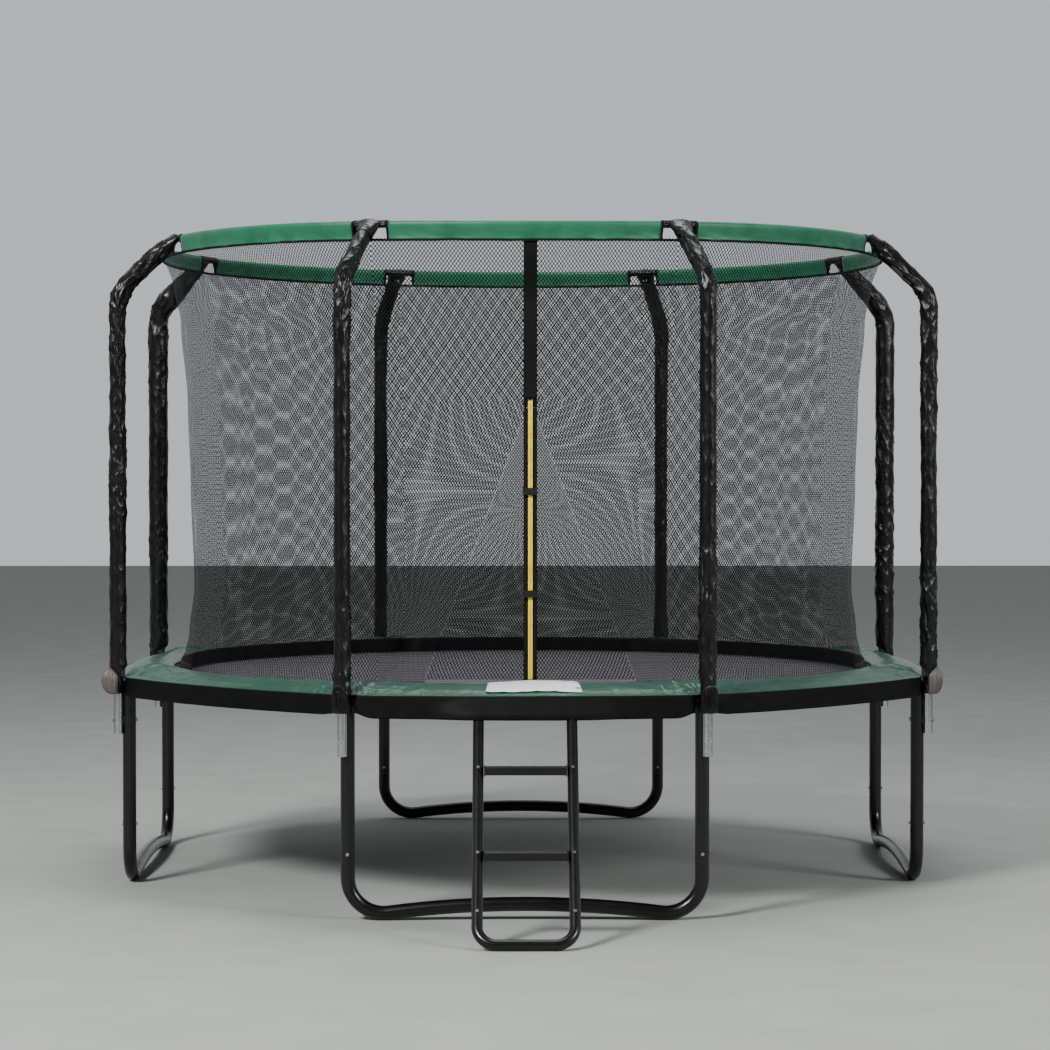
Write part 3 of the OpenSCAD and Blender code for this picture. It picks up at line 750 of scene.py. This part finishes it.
for side, word in ((-1, "left"), (1, "right")):
    low, high = boxOf("zip_" + word)
    flat = doorFacts["zipHalf"]
    deselectAll()
    middle = (doorX + side * (0.0003 + flat / 2), (low.y + high.y) / 2 - 0.0004, (low.z + high.z) / 2)
    bpy.ops.mesh.primitive_cube_add(size=1, location=middle,
                                    scale=(flat - 0.0003, high.y - low.y, high.z - low.z))
    tape = bpy.context.object
    tape.name = "zipTape_" + word
    bpy.ops.object.transform_apply(location=True, rotation=False, scale=True)
    applyModifier(tape, "BEVEL", width=0.0008, segments=2)
    dress(tape, zipCloth, "door_" + word, ["zip_" + word])
    # one tooth, repeated up the zip; the other half's teeth sit between these
    deselectAll()
    shift = doorFacts["toothPitch"] / 2 if side > 0 else 0.0
    first = (doorX + side * 0.0016, low.y - 0.0012, low.z + 0.004 + shift)
    bpy.ops.mesh.primitive_cube_add(size=1, location=first, scale=(0.0026, 0.0022, 0.0017))
    tooth = bpy.context.object
    tooth.name = "zipTeeth_" + word
    bpy.ops.object.transform_apply(location=True, rotation=False, scale=True)
    count = int((high.z - low.z - 0.012) / doorFacts["toothPitch"])
    applyModifier(tooth, "ARRAY", count=count, use_relative_offset=False, use_constant_offset=True,
                  constant_offset_displace=(0, 0, doorFacts["toothPitch"]))
    dress(tooth, toothPlastic, "door_" + word)
print("door strips and zip made")


# top bands, their bindings and the pole pockets

bandFacts = {
    "half": math.radians(19.7), "lowZ": bandLow.z, "ringR": ringR, "ringZ": ringZ,
    "tube": 0.0125, "binding": 0.009, "sag": 0.002,
}


# Loop over the ring: up the inside, over the tube and down the outside; gives (out, up) from the ring.
def bandSection(u, half, low):
    drop = bandFacts["ringZ"] - low
    if u < 0.38:
        t = u / 0.38
        return -half - (bandFacts["tube"] - half) * smooth(t * 1.15 - 0.15), -drop + t * drop
    if u <= 0.62:
        a = math.pi * (1 - (u - 0.38) / 0.24)
        return bandFacts["tube"] * math.cos(a), bandFacts["tube"] * math.sin(a)
    t = (1 - u) / 0.38
    return half + (bandFacts["tube"] - half) * smooth(t * 1.15 - 0.15), -drop + t * drop


def bandShape(k, u, angle, half, low, grow=0.0):
    out, up = bandSection(u, half, low)
    size = 1 + grow / bandFacts["tube"]
    drape = smooth(-up / 0.05)
    soft = bandFacts["sag"] * drape * (noise.noise(Vector((angle * 26, up * 22, k * 2.0))) * 1.5 +
                                       ridge(Vector((angle * 9 + up * 25, up * 9, k * 5.0)), 3.0))
    lift = 0.0014 * noise.noise(Vector((angle * 14, k * 4.0, 0.0))) * drape
    return polar(bandFacts["ringR"] + out * size + (soft if out > 0 else -soft * 0.6), angle,
                 bandFacts["ringZ"] + ringLift(angle) + up * (size if up > 0 else 1.0) + lift)


for k in range(1, bayCount + 1):
    def bandPlace(u, v, k=k):
        return bandShape(k, v, k * bayAngle + (0.5 - u) * 2 * bandFacts["half"], 0.0022, bandFacts["lowZ"])
    arc = 2 * bandFacts["half"] * bandFacts["ringR"]
    tall = 2 * (bandFacts["ringZ"] - bandFacts["lowZ"]) + math.pi * bandFacts["tube"]
    band = clothGrid("topBand_%d" % k, 30, 90, bandPlace, size=(arc, tall))
    thicken(band, 0.0008, 0.0)
    dress(band, bandCloth, replaces=["top_band"])


# A tape laid along points, width along sideway(i), as a flat box section.
def stripAlong(name, points, sideway, width, thickness, material, body="root", closed=False):
    count = len(points)
    places, faces, uvs = [], [], []
    length = 0.0
    for i, p in enumerate(points):
        ahead = points[(i + 1) % count] if closed or i < count - 1 else p
        back = points[i - 1] if closed or i > 0 else p
        along = (ahead - back).normalized()
        wide = sideway(i).normalized()
        normal = along.cross(wide).normalized()
        for a, b in ((-1, -1), (1, -1), (1, 1), (-1, 1)):
            places.append(p + wide * width / 2 * a + normal * thickness / 2 * b)
    total = count if closed else count - 1
    for i in range(total):
        i2 = (i + 1) % count
        step = (points[i2] - points[i]).length
        for j in range(4):
            j2 = (j + 1) % 4
            faces.append((i * 4 + j, i2 * 4 + j, i2 * 4 + j2, i * 4 + j2))
            u0, u1 = (0.0, width) if j in (0, 2) else (0.0, thickness)
            uvs += [(u0, length), (u0, length + step), (u1, length + step), (u1, length)]
        length += step
    if not closed:
        faces += [(3, 2, 1, 0), tuple((count - 1) * 4 + j for j in range(4))]
        uvs += [(0, 0), (width, 0), (width, thickness), (0, thickness)] * 2
    piece = makeMesh(name, places, faces, uvs)
    for polygon in piece.data.polygons:
        polygon.use_smooth = False
    faceOut(piece)
    dress(piece, material, body)
    return piece


def ringPlace(u, i):
    angle = math.tau * i / ringFacts["steps"]
    return polar(ringR + ringFacts["tube"] * math.cos(math.tau * u), angle,
                 ringZ + ringLift(angle) + ringFacts["tube"] * math.sin(math.tau * u))


ringFacts = {"tube": 0.011, "steps": 240, "bindingSteps": 360}
ring = ringGrid("topRing", ringFacts["steps"], 16, ringPlace, (0.07, 10.0))
faceOut(ring)
dress(ring, blackPlastic, replaces=["top_ring"])

up = Vector((0, 0, 1))
lowLine = []
for i in range(ringFacts["bindingSteps"]):
    angle = math.tau * i / ringFacts["bindingSteps"]
    wob = 0.0014 * noise.noise(Vector((bayOffset(angle) * 14, round(angle / bayAngle) * 4.0, 0.0)))
    lowLine.append(polar(bandFacts["ringR"] + 0.0005, angle,
                         bandFacts["lowZ"] + ringLift(angle) - 0.002 + wob))
stripAlong("bandBinding", lowLine, lambda i: up, bandFacts["binding"], 0.0075, blackTape, closed=True)

for k in range(1, bayCount + 1):
    for side in (-1, 1):
        angle = k * bayAngle + side * (bandFacts["half"] + 0.0022)
        line = [bandShape(k, i / 40, angle, 0.0030, bandFacts["lowZ"], 0.0010) for i in range(41)]
        sideDir = Vector((-math.sin(angle), math.cos(angle), 0))
        stripAlong("bandEnd_%d%s" % (k, "ab"[side > 0]), line, lambda i, d=sideDir: d, bandFacts["binding"],
                   0.0016, blackTape)

pocketFacts = {"tube": 0.0150, "flare": 0.048, "length": 0.085, "wrinkle": 0.0025}
for k in range(1, bayCount + 1):
    middle = legAngle(k)
    reach = halfBay - bandFacts["half"] - 0.0048

    def collarPlace(u, v, k=k, middle=middle, reach=reach):
        angle = middle + (u - 0.5) * 2 * reach
        a = v * math.tau
        soft = noise.noise(Vector((u * 7, math.cos(a) * 2, k * 3.0 + math.sin(a) * 2)))
        r = pocketFacts["tube"] + 0.0012 * soft
        return polar(bandFacts["ringR"] + r * math.cos(a), angle,
                     bandFacts["ringZ"] + ringLift(angle) + r * math.sin(a))
    collar = clothGrid("poleCollar_%d" % k, 20, 18, collarPlace, size=(2 * reach * ringR, 0.095))
    thicken(collar, 0.0008, 1.0)
    dress(collar, sleevePvc, replaces=["pole_caps"])

    def pocketPlace(u, v, k=k):
        s = sleeveLength - 0.03 + v * pocketFacts["length"]
        around = u * math.tau
        centre, outward, side = poleFrame(k, s)
        flat = smooth(v * 1.1)
        wide = sleeveFacts["radius"] * (1 - flat) + pocketFacts["flare"] * flat
        deep = sleeveFacts["radius"] * (1 - flat) + (pocketFacts["tube"] + 0.003) * flat
        crest = ridge(Vector((math.cos(around) * 2, math.sin(around) * 2, s * 22 + k)), 2.0)
        crease = pocketFacts["wrinkle"] * (crest - 0.3)
        return (centre + outward * math.cos(around) * (deep + crease)
                + side * math.sin(around) * (wide + crease))
    pocket = clothGrid("polePocket_%d" % k, 26, 40, pocketPlace, closed=True,
                       size=(0.24, pocketFacts["length"]))
    thicken(pocket, 0.0008, 1.0)
    dress(pocket, sleevePvc, replaces=["pole_caps"])
print("top bands and pockets made")


# jumping mat

matFacts = {"hem": 0.048, "seams": (-0.62, 0.62), "rings": 26}


def discPiece(name, radii, heights, columns):
    points, faces, uvs = [Vector((0, 0, heights[0]))], [], []
    for r, z in zip(radii[1:], heights[1:]):
        points += [polar(r, math.tau * j / columns, z) for j in range(columns)]
    for j in range(columns):
        j2 = (j + 1) % columns
        faces.append((0, 1 + j, 1 + j2))
        for i in range(len(radii) - 2):
            a, b = 1 + i * columns, 1 + (i + 1) * columns
            faces.append((a + j, b + j, b + j2, a + j2))
    for face in faces:
        uvs += [(points[n].x + 2, points[n].y + 2) for n in face]
    return makeMesh(name, points, faces, uvs)


top = matTop - 0.0012
jumpCloth = discPiece("jumpCloth", [matRadius * i / matFacts["rings"] for i in range(matFacts["rings"] + 1)],
                      [top] * (matFacts["rings"] + 1), 144)
thicken(jumpCloth, 0.0020)
dress(jumpCloth, matCloth, "mat", ["jump_mat"])

# Piece's name, how far in from the mat's edge, height over it, width, thickness and material.
for name, inset, lift, width, thickness, material in (
        ("matHem", matFacts["hem"] / 2 - 0.0005, 0.0006, matFacts["hem"], 0.0012, blackTape),
        ("matStitch_outer", 0.006, 0.0016, 0.0012, 0.0008, stitchThread),
        ("matStitch_inner", 0.041, 0.0016, 0.0012, 0.0008, stitchThread)):
    line = [polar(matRadius - inset, math.tau * i / 240, matTop + lift) for i in range(240)]
    stripAlong(name, line, lambda i: polar(1, math.tau * i / 240, 0), width, thickness, material, "mat",
               closed=True)
for number, y in enumerate(matFacts["seams"]):
    half = math.sqrt((matRadius - matFacts["hem"]) ** 2 - y * y)
    line = [Vector((-half + 2 * half * i / 24, y, matTop + 0.0005)) for i in range(25)]
    stripAlong("matSeam_%d" % number, line, lambda i: Vector((0, 1, 0)), 0.022, 0.0009, matCloth, "mat")
print("mat made")


# springs

springFacts = {"count": 9, "coilR": 0.0082, "wire": 0.0016, "turns": 22, "headR": matRadius + 0.0195}


def railInside(a):
    return railEdge(a, -0.025)


springSpan = math.radians(37) / (springFacts["count"] - 1)
for k in range(1, bayCount + 1):
    for i in range(springFacts["count"]):
        a = (i - (springFacts["count"] - 1) / 2) * springSpan
        angle = k * bayAngle + a
        far = railInside(a) - 0.001
        near = springFacts["headR"]
        body = far - near - 0.028
        deselectAll()
        bpy.ops.mesh.primitive_circle_add(vertices=5, radius=springFacts["wire"], fill_type="NOTHING",
                                          location=(springFacts["coilR"] - springFacts["wire"], 0, 0),
                                          rotation=(math.pi / 2, 0, 0))
        coil = bpy.context.object
        coil.name = "spring_%d_%d" % (k, i + 1)
        bpy.ops.object.transform_apply(location=True, rotation=True, scale=False)
        applyModifier(coil, "SCREW", axis="Z", angle=math.tau, screw_offset=body / springFacts["turns"],
                      iterations=springFacts["turns"], steps=8, render_steps=8)
        turn = Matrix.Rotation(angle, 4, "Z") @ Matrix.Translation((near + 0.014, 0, railZ + 0.002)) @ \
            Matrix.Rotation(math.pi / 2, 4, "Y")
        coil.data.transform(turn)
        deselectAll()
        hooks = []
        for start, long in ((near - 0.003, 0.020), (far - 0.016, 0.016)):
            bpy.ops.mesh.primitive_cylinder_add(vertices=8, radius=springFacts["wire"], depth=long)
            hook = bpy.context.object
            hook.data.transform(Matrix.Rotation(angle, 4, "Z") @ Matrix.Translation((start + long / 2, 0,
                                railZ + 0.002)) @ Matrix.Rotation(math.pi / 2, 4, "Y"))
            hooks.append(hook)
        deselectAll()
        for part in hooks + [coil]:
            part.select_set(True)
        bpy.context.view_layer.objects.active = coil
        bpy.ops.object.join()
        for polygon in coil.data.polygons:
            polygon.use_smooth = True
        coil.data.materials.clear()
        coil.data.materials.append(boltZinc)
        polar(near, angle, railZ)
        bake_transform(coil)
        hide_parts("springs")
print("springs made")


# safety pad, label patch, skirts and boots

padFacts = {
    "innerR": 1.546, "over": 0.027, "lowZ": padLow.z, "topZ": padHigh.z, "puff": 0.010,
    "humpHigh": 0.016, "humpReach": 0.26, "crease": 0.0060, "gap": 0.0375, "rows": 120, "columns": 72,
    "doorRise": 0.004, "patchRise": 0.008, "droop": 0.008,
}


# Evens 0 to 1 out so that steps crowd together near both ends.
def spread(t):
    return t - 0.11 * math.sin(math.tau * t)


# The outer edge hangs a little over the rail; t goes from the inner edge, 0, to the outer, 1.
def padDroop(t):
    return padFacts["droop"] * smooth((t - 0.82) / 0.18)


# Where the pad's outer edge is, cut back round each pole.
def padOut(angle):
    a = bayOffset(angle)
    edge = railEdge(a, padFacts["over"])
    d = (halfBay - abs(a)) * poleRadius
    if d < padFacts["gap"]:
        edge = min(edge, poleRadius - math.sqrt(padFacts["gap"] ** 2 - d * d))
    return edge


def angleFrom(angle, other):
    return (angle - other + math.pi) % math.tau - math.pi


# Height of the pad's upper skin: foam, humps by the poles and creases that fan out from them.
def padTop(r, angle):
    a = bayOffset(angle)
    out = padOut(angle)
    t = min(max((r - padFacts["innerR"]) / (out - padFacts["innerR"]), 0), 1)
    side = 1 if a > 0 else -1
    pole = halfBay - abs(a)
    px, py = poleRadius - r, pole * r
    d = math.hypot(px, py)
    fan = math.atan2(px, py) * side
    k = round((angle - a) / bayAngle)
    near = math.exp(-(d / padFacts["humpReach"]) ** 2)
    fanned = ridge(Vector((fan * 3.4 + k, d * 1.2, k * 3.1 + side)), 2.2)
    long = ridge(Vector((r * 13, angle * 2.2, 7.0)), 2.0) - 0.4
    long += 0.4 * noise.noise(Vector((r * 34, angle * 5, 3.0)))
    cross = ridge(Vector((angle * 11 + r * 6, r * 2.0, 9.0)), 3.0)
    cross += 0.6 * ridge(Vector((angle * 23 - r * 9, r * 2.5, 4.0)), 3.0)
    puff = padFacts["puff"] * math.sin(math.pi * min(t * 1.15, 1)) ** 0.6
    fromDoor = angleFrom(angle, frontBay * bayAngle)
    door = padFacts["doorRise"] * math.exp(-(fromDoor / 0.31) ** 4) * math.exp(-((t - 0.14) / 0.26) ** 2)
    door += padFacts["patchRise"] * math.exp(-((fromDoor - 0.035) / 0.075) ** 2)
    rise = padFacts["humpHigh"] * near * (0.3 + fanned) * smooth(d / 0.05)
    rise *= math.sin(math.pi * min(t + 0.12, 1)) ** 0.5
    edge = smooth(t / 0.06) * smooth((1 - t) / 0.10)
    slope = -0.012 * smooth((t - 0.45) / 0.55)
    creases = padFacts["crease"] * (long * (0.4 + 0.8 * near) + cross * (0.45 + 0.9 * near))
    return padFacts["topZ"] + slope + edge * (puff + rise + door + creases)


def padPoint(u, i):
    rows = padFacts["rows"]
    angle = (i // rows) * bayAngle + halfBay + spread((i % rows) / rows) * bayAngle
    out = padOut(angle)
    t = (1 - math.cos(math.tau * u)) / 2
    r = padFacts["innerR"] + (out - padFacts["innerR"]) * t
    rim = min(abs(math.sin(math.tau * u)) ** 0.45, 1.0)
    droop = padDroop(t)
    lowEdge = padFacts["lowZ"] + 0.0005 - droop
    middle = lowEdge + 0.006 - 0.003 * t
    if u <= 0.5:
        return polar(r, angle, middle + (padTop(r, angle) - droop - middle) * rim)
    return polar(r, angle, middle + (lowEdge - middle) * rim)


pad = ringGrid("safetyPad", padFacts["rows"] * bayCount, padFacts["columns"], padPoint, (0.52, 11.0))
faceOut(pad)
dress(pad, padPvc, replaces=["safety_pad"])

patchLow, patchHigh = boxOf("pad_patch")


def patchPlace(u, v):
    x = patchLow.x + (patchHigh.x - patchLow.x) * u
    bow = 0.010 * math.sin(math.pi * u)
    angle = math.atan2(-1.66, x)
    out = padOut(angle)
    r = out - 0.022 - v * 0.155 + bow * 0.4
    t = (r - padFacts["innerR"]) / (out - padFacts["innerR"])
    return polar(r, angle, padTop(r, angle) - padDroop(t) + 0.0034)


patch = clothGrid("blankPatch", 30, 70, patchPlace, size=(0.36, 0.155))
thicken(patch, 0.0008)
dress(patch, patchCloth, replaces=["pad_patch"])

skirtFacts = {
    "topZ": padFacts["lowZ"] - 0.004, "high": 0.080, "frontHigh": 0.090, "out": 0.0335, "fold": 0.0030,
    "rise": 0.020, "endGap": math.radians(1.35), "bulge": 0.040, "arc": 1.385,
}


def skirtPoint(k, u, v, front):
    a = (u - 0.5) * 2 * (halfBay - skirtFacts["endGap"])
    end = (1 - smooth((halfBay - skirtFacts["endGap"] - abs(a)) / 0.05))
    angle = k * bayAngle + a
    hang = noise.noise(Vector((angle * 19, v * 0.9, k * 2.0)))
    hang += 0.6 * noise.noise(Vector((angle * 45, v * 1.6, 4.0)))
    pull = ridge(Vector((angle * 30 + v * 1.4 * (1 if a > 0 else -1), v * 0.8, k * 1.0)), 2.5) * end
    out = skirtFacts["out"] + skirtFacts["fold"] * hang * smooth(v * 3) + 0.006 * pull * smooth(v * 4)
    if front:
        near = math.exp(-(max(abs(1.66 * math.tan(a)) - 0.20, 0) / 0.10) ** 2)
        out += skirtFacts["bulge"] * near * smooth(v * 1.2)
    drop = skirtFacts["frontHigh" if front else "high"]
    drop -= skirtFacts["rise"] * end * end * (1.0 if front else 0.3)
    return polar(railEdge(a, out), angle, skirtFacts["topZ"] - v * drop)


for k in range(1, bayCount + 1):
    isFront = k == frontBay

    def skirtPlace(u, v, k=k, isFront=isFront):
        return skirtPoint(k, u, 1 - v, isFront)
    skirt = clothGrid("skirt_%d" % k, 14, 130, skirtPlace, size=(skirtFacts["arc"], skirtFacts["high"]))
    thicken(skirt, 0.0012, 0.0)
    skirt.data.materials.append(skirtPvc)
    if isFront:
        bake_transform(skirt)
        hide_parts("skirt_front")
    else:
        dress(skirt, skirtPvc, replaces=["skirt"])

bootFacts = {
    "lowZ": 0.8115, "highZ": 0.925, "r": 0.0375, "half": math.radians(72), "pleat": 0.0028, "tight": 0.0035,
    # how far the boots of the two poles at the sides in front stand off; the others are drawn tight
    "bulge": {5: 0.031, 8: 0.022},
}
for k in range(1, bayCount + 1):
    centre = polar(poleRadius, legAngle(k), 0)
    bulge = bootFacts["bulge"].get(k, bootFacts["tight"])

    def bootPlace(u, v, k=k, centre=centre, bulge=bulge):
        around = (u - 0.5) * 2 * bootFacts["half"]
        face = math.cos(around / bootFacts["half"] * math.pi / 2) ** 0.8 if abs(u - 0.5) < 0.4999 else 0.0
        swell = math.sin(math.pi * v) ** 0.55 * bulge * face
        sway = 2.5 * noise.noise(Vector((around, v * 3, k * 1.0)))
        pleat = bootFacts["pleat"] * math.sin(around * 26 + sway) * math.sin(math.pi * v) ** 0.4 * face
        high = bootFacts["lowZ"] + v * (bootFacts["highZ"] - bootFacts["lowZ"]) * (1 - 0.33 * (1 - face))
        return centre + polar(bootFacts["r"] + swell + pleat, legAngle(k) + around, high)
    boot = clothGrid("poleBoot_%d" % k, 18, 120, bootPlace, size=(0.23, 0.11))
    thicken(boot, 0.0008, 0.0)
    # the boots on the two side poles get the lighter painted-highlight PVC; the others stay plain black
    dress(boot, sideBootRimHighlightPvc if k in bootFacts["bulge"] else sleevePvc, replaces=["pole_boots"])
print("pad, skirts and boots made")


# carried-over nodes: finishes

finishes = {
    "rail_steel": blackCoat, "black_steel": blackCoat, "galvanised_steel": poleZinc, "grey_foam": foamGrey,
    "black_pvc": skirtPvc, "black_plastic": blackPlastic, "green_fabric": bandCloth, "net_mesh": netCloth,
    "black_webbing": blackTape, "yellow_zip": zipCloth, "woven_mat": matCloth, "zinc_steel": boltZinc,
    "green_pvc": padPvc, "white_patch": patchCloth,
}
for row in frame["record"]["subparts"]:
    node = frame["nodes"][row["node"]]
    node.data.materials.clear()
    node.data.materials.append(finishes[row["material_slot"]])


# stage, light and camera

deselectAll()
bpy.ops.mesh.primitive_plane_add(size=60, location=(0, 12, 0))
floor = bpy.context.object
floor.name = "studioFloor"
floor.data.materials.append(paleStage("greyFloor", "#9da19b"))

world = bpy.data.worlds.new("softStudio")
scene.world = world
world.use_nodes = True
# pale wall behind the object, a darker room on the side that the door faces, a little light overhead
tree = world.node_tree
coords = tree.nodes.new("ShaderNodeTexCoord")
parts = tree.nodes.new("ShaderNodeSeparateXYZ")
wall = tree.nodes.new("ShaderNodeMapRange")
tree.links.new(coords.outputs["Generated"], parts.inputs[0])
tree.links.new(parts.outputs["Y"], wall.inputs["Value"])
for name, value in (("From Min", -0.4), ("From Max", 0.6), ("To Min", 0.10), ("To Max", 0.72)):
    wall.inputs[name].default_value = value
tree.links.new(wall.outputs["Result"], tree.nodes["Background"].inputs["Strength"])
tree.nodes["Background"].inputs["Color"].default_value = hexColour("#e9eef2")


def softLight(name, place, target, size, power):
    data = bpy.data.lights.new(name, "AREA")
    data.shape = "DISK"
    data.size = size
    data.energy = power
    lamp = bpy.data.objects.new(name, data)
    lamp.location = place
    lamp.rotation_euler = (Vector(target) - Vector(place)).to_track_quat("-Z", "Y").to_euler()
    scene.collection.objects.link(lamp)


softLight("keyLight", (-6, -9, 8), (0, 0, 1.2), 2.5, 1900)
softLight("fillLight", (8, -7, 5), (0, 0, 1.0), 3, 700)
softLight("topLight", (0, 1, 9), (0, 0, 0.8), 5, 450)

camera = bpy.data.objects.new("camera", bpy.data.cameras.new("camera"))
scene.collection.objects.link(camera)
camera.location = (-0.0695, -12.8648, 1.7363)
camera.rotation_euler = (math.radians(90) - 0.0175, 0.0, -0.0062)
camera.data.sensor_width = 36
camera.data.lens = 98.71
camera.data.clip_end = 200
scene.camera = camera
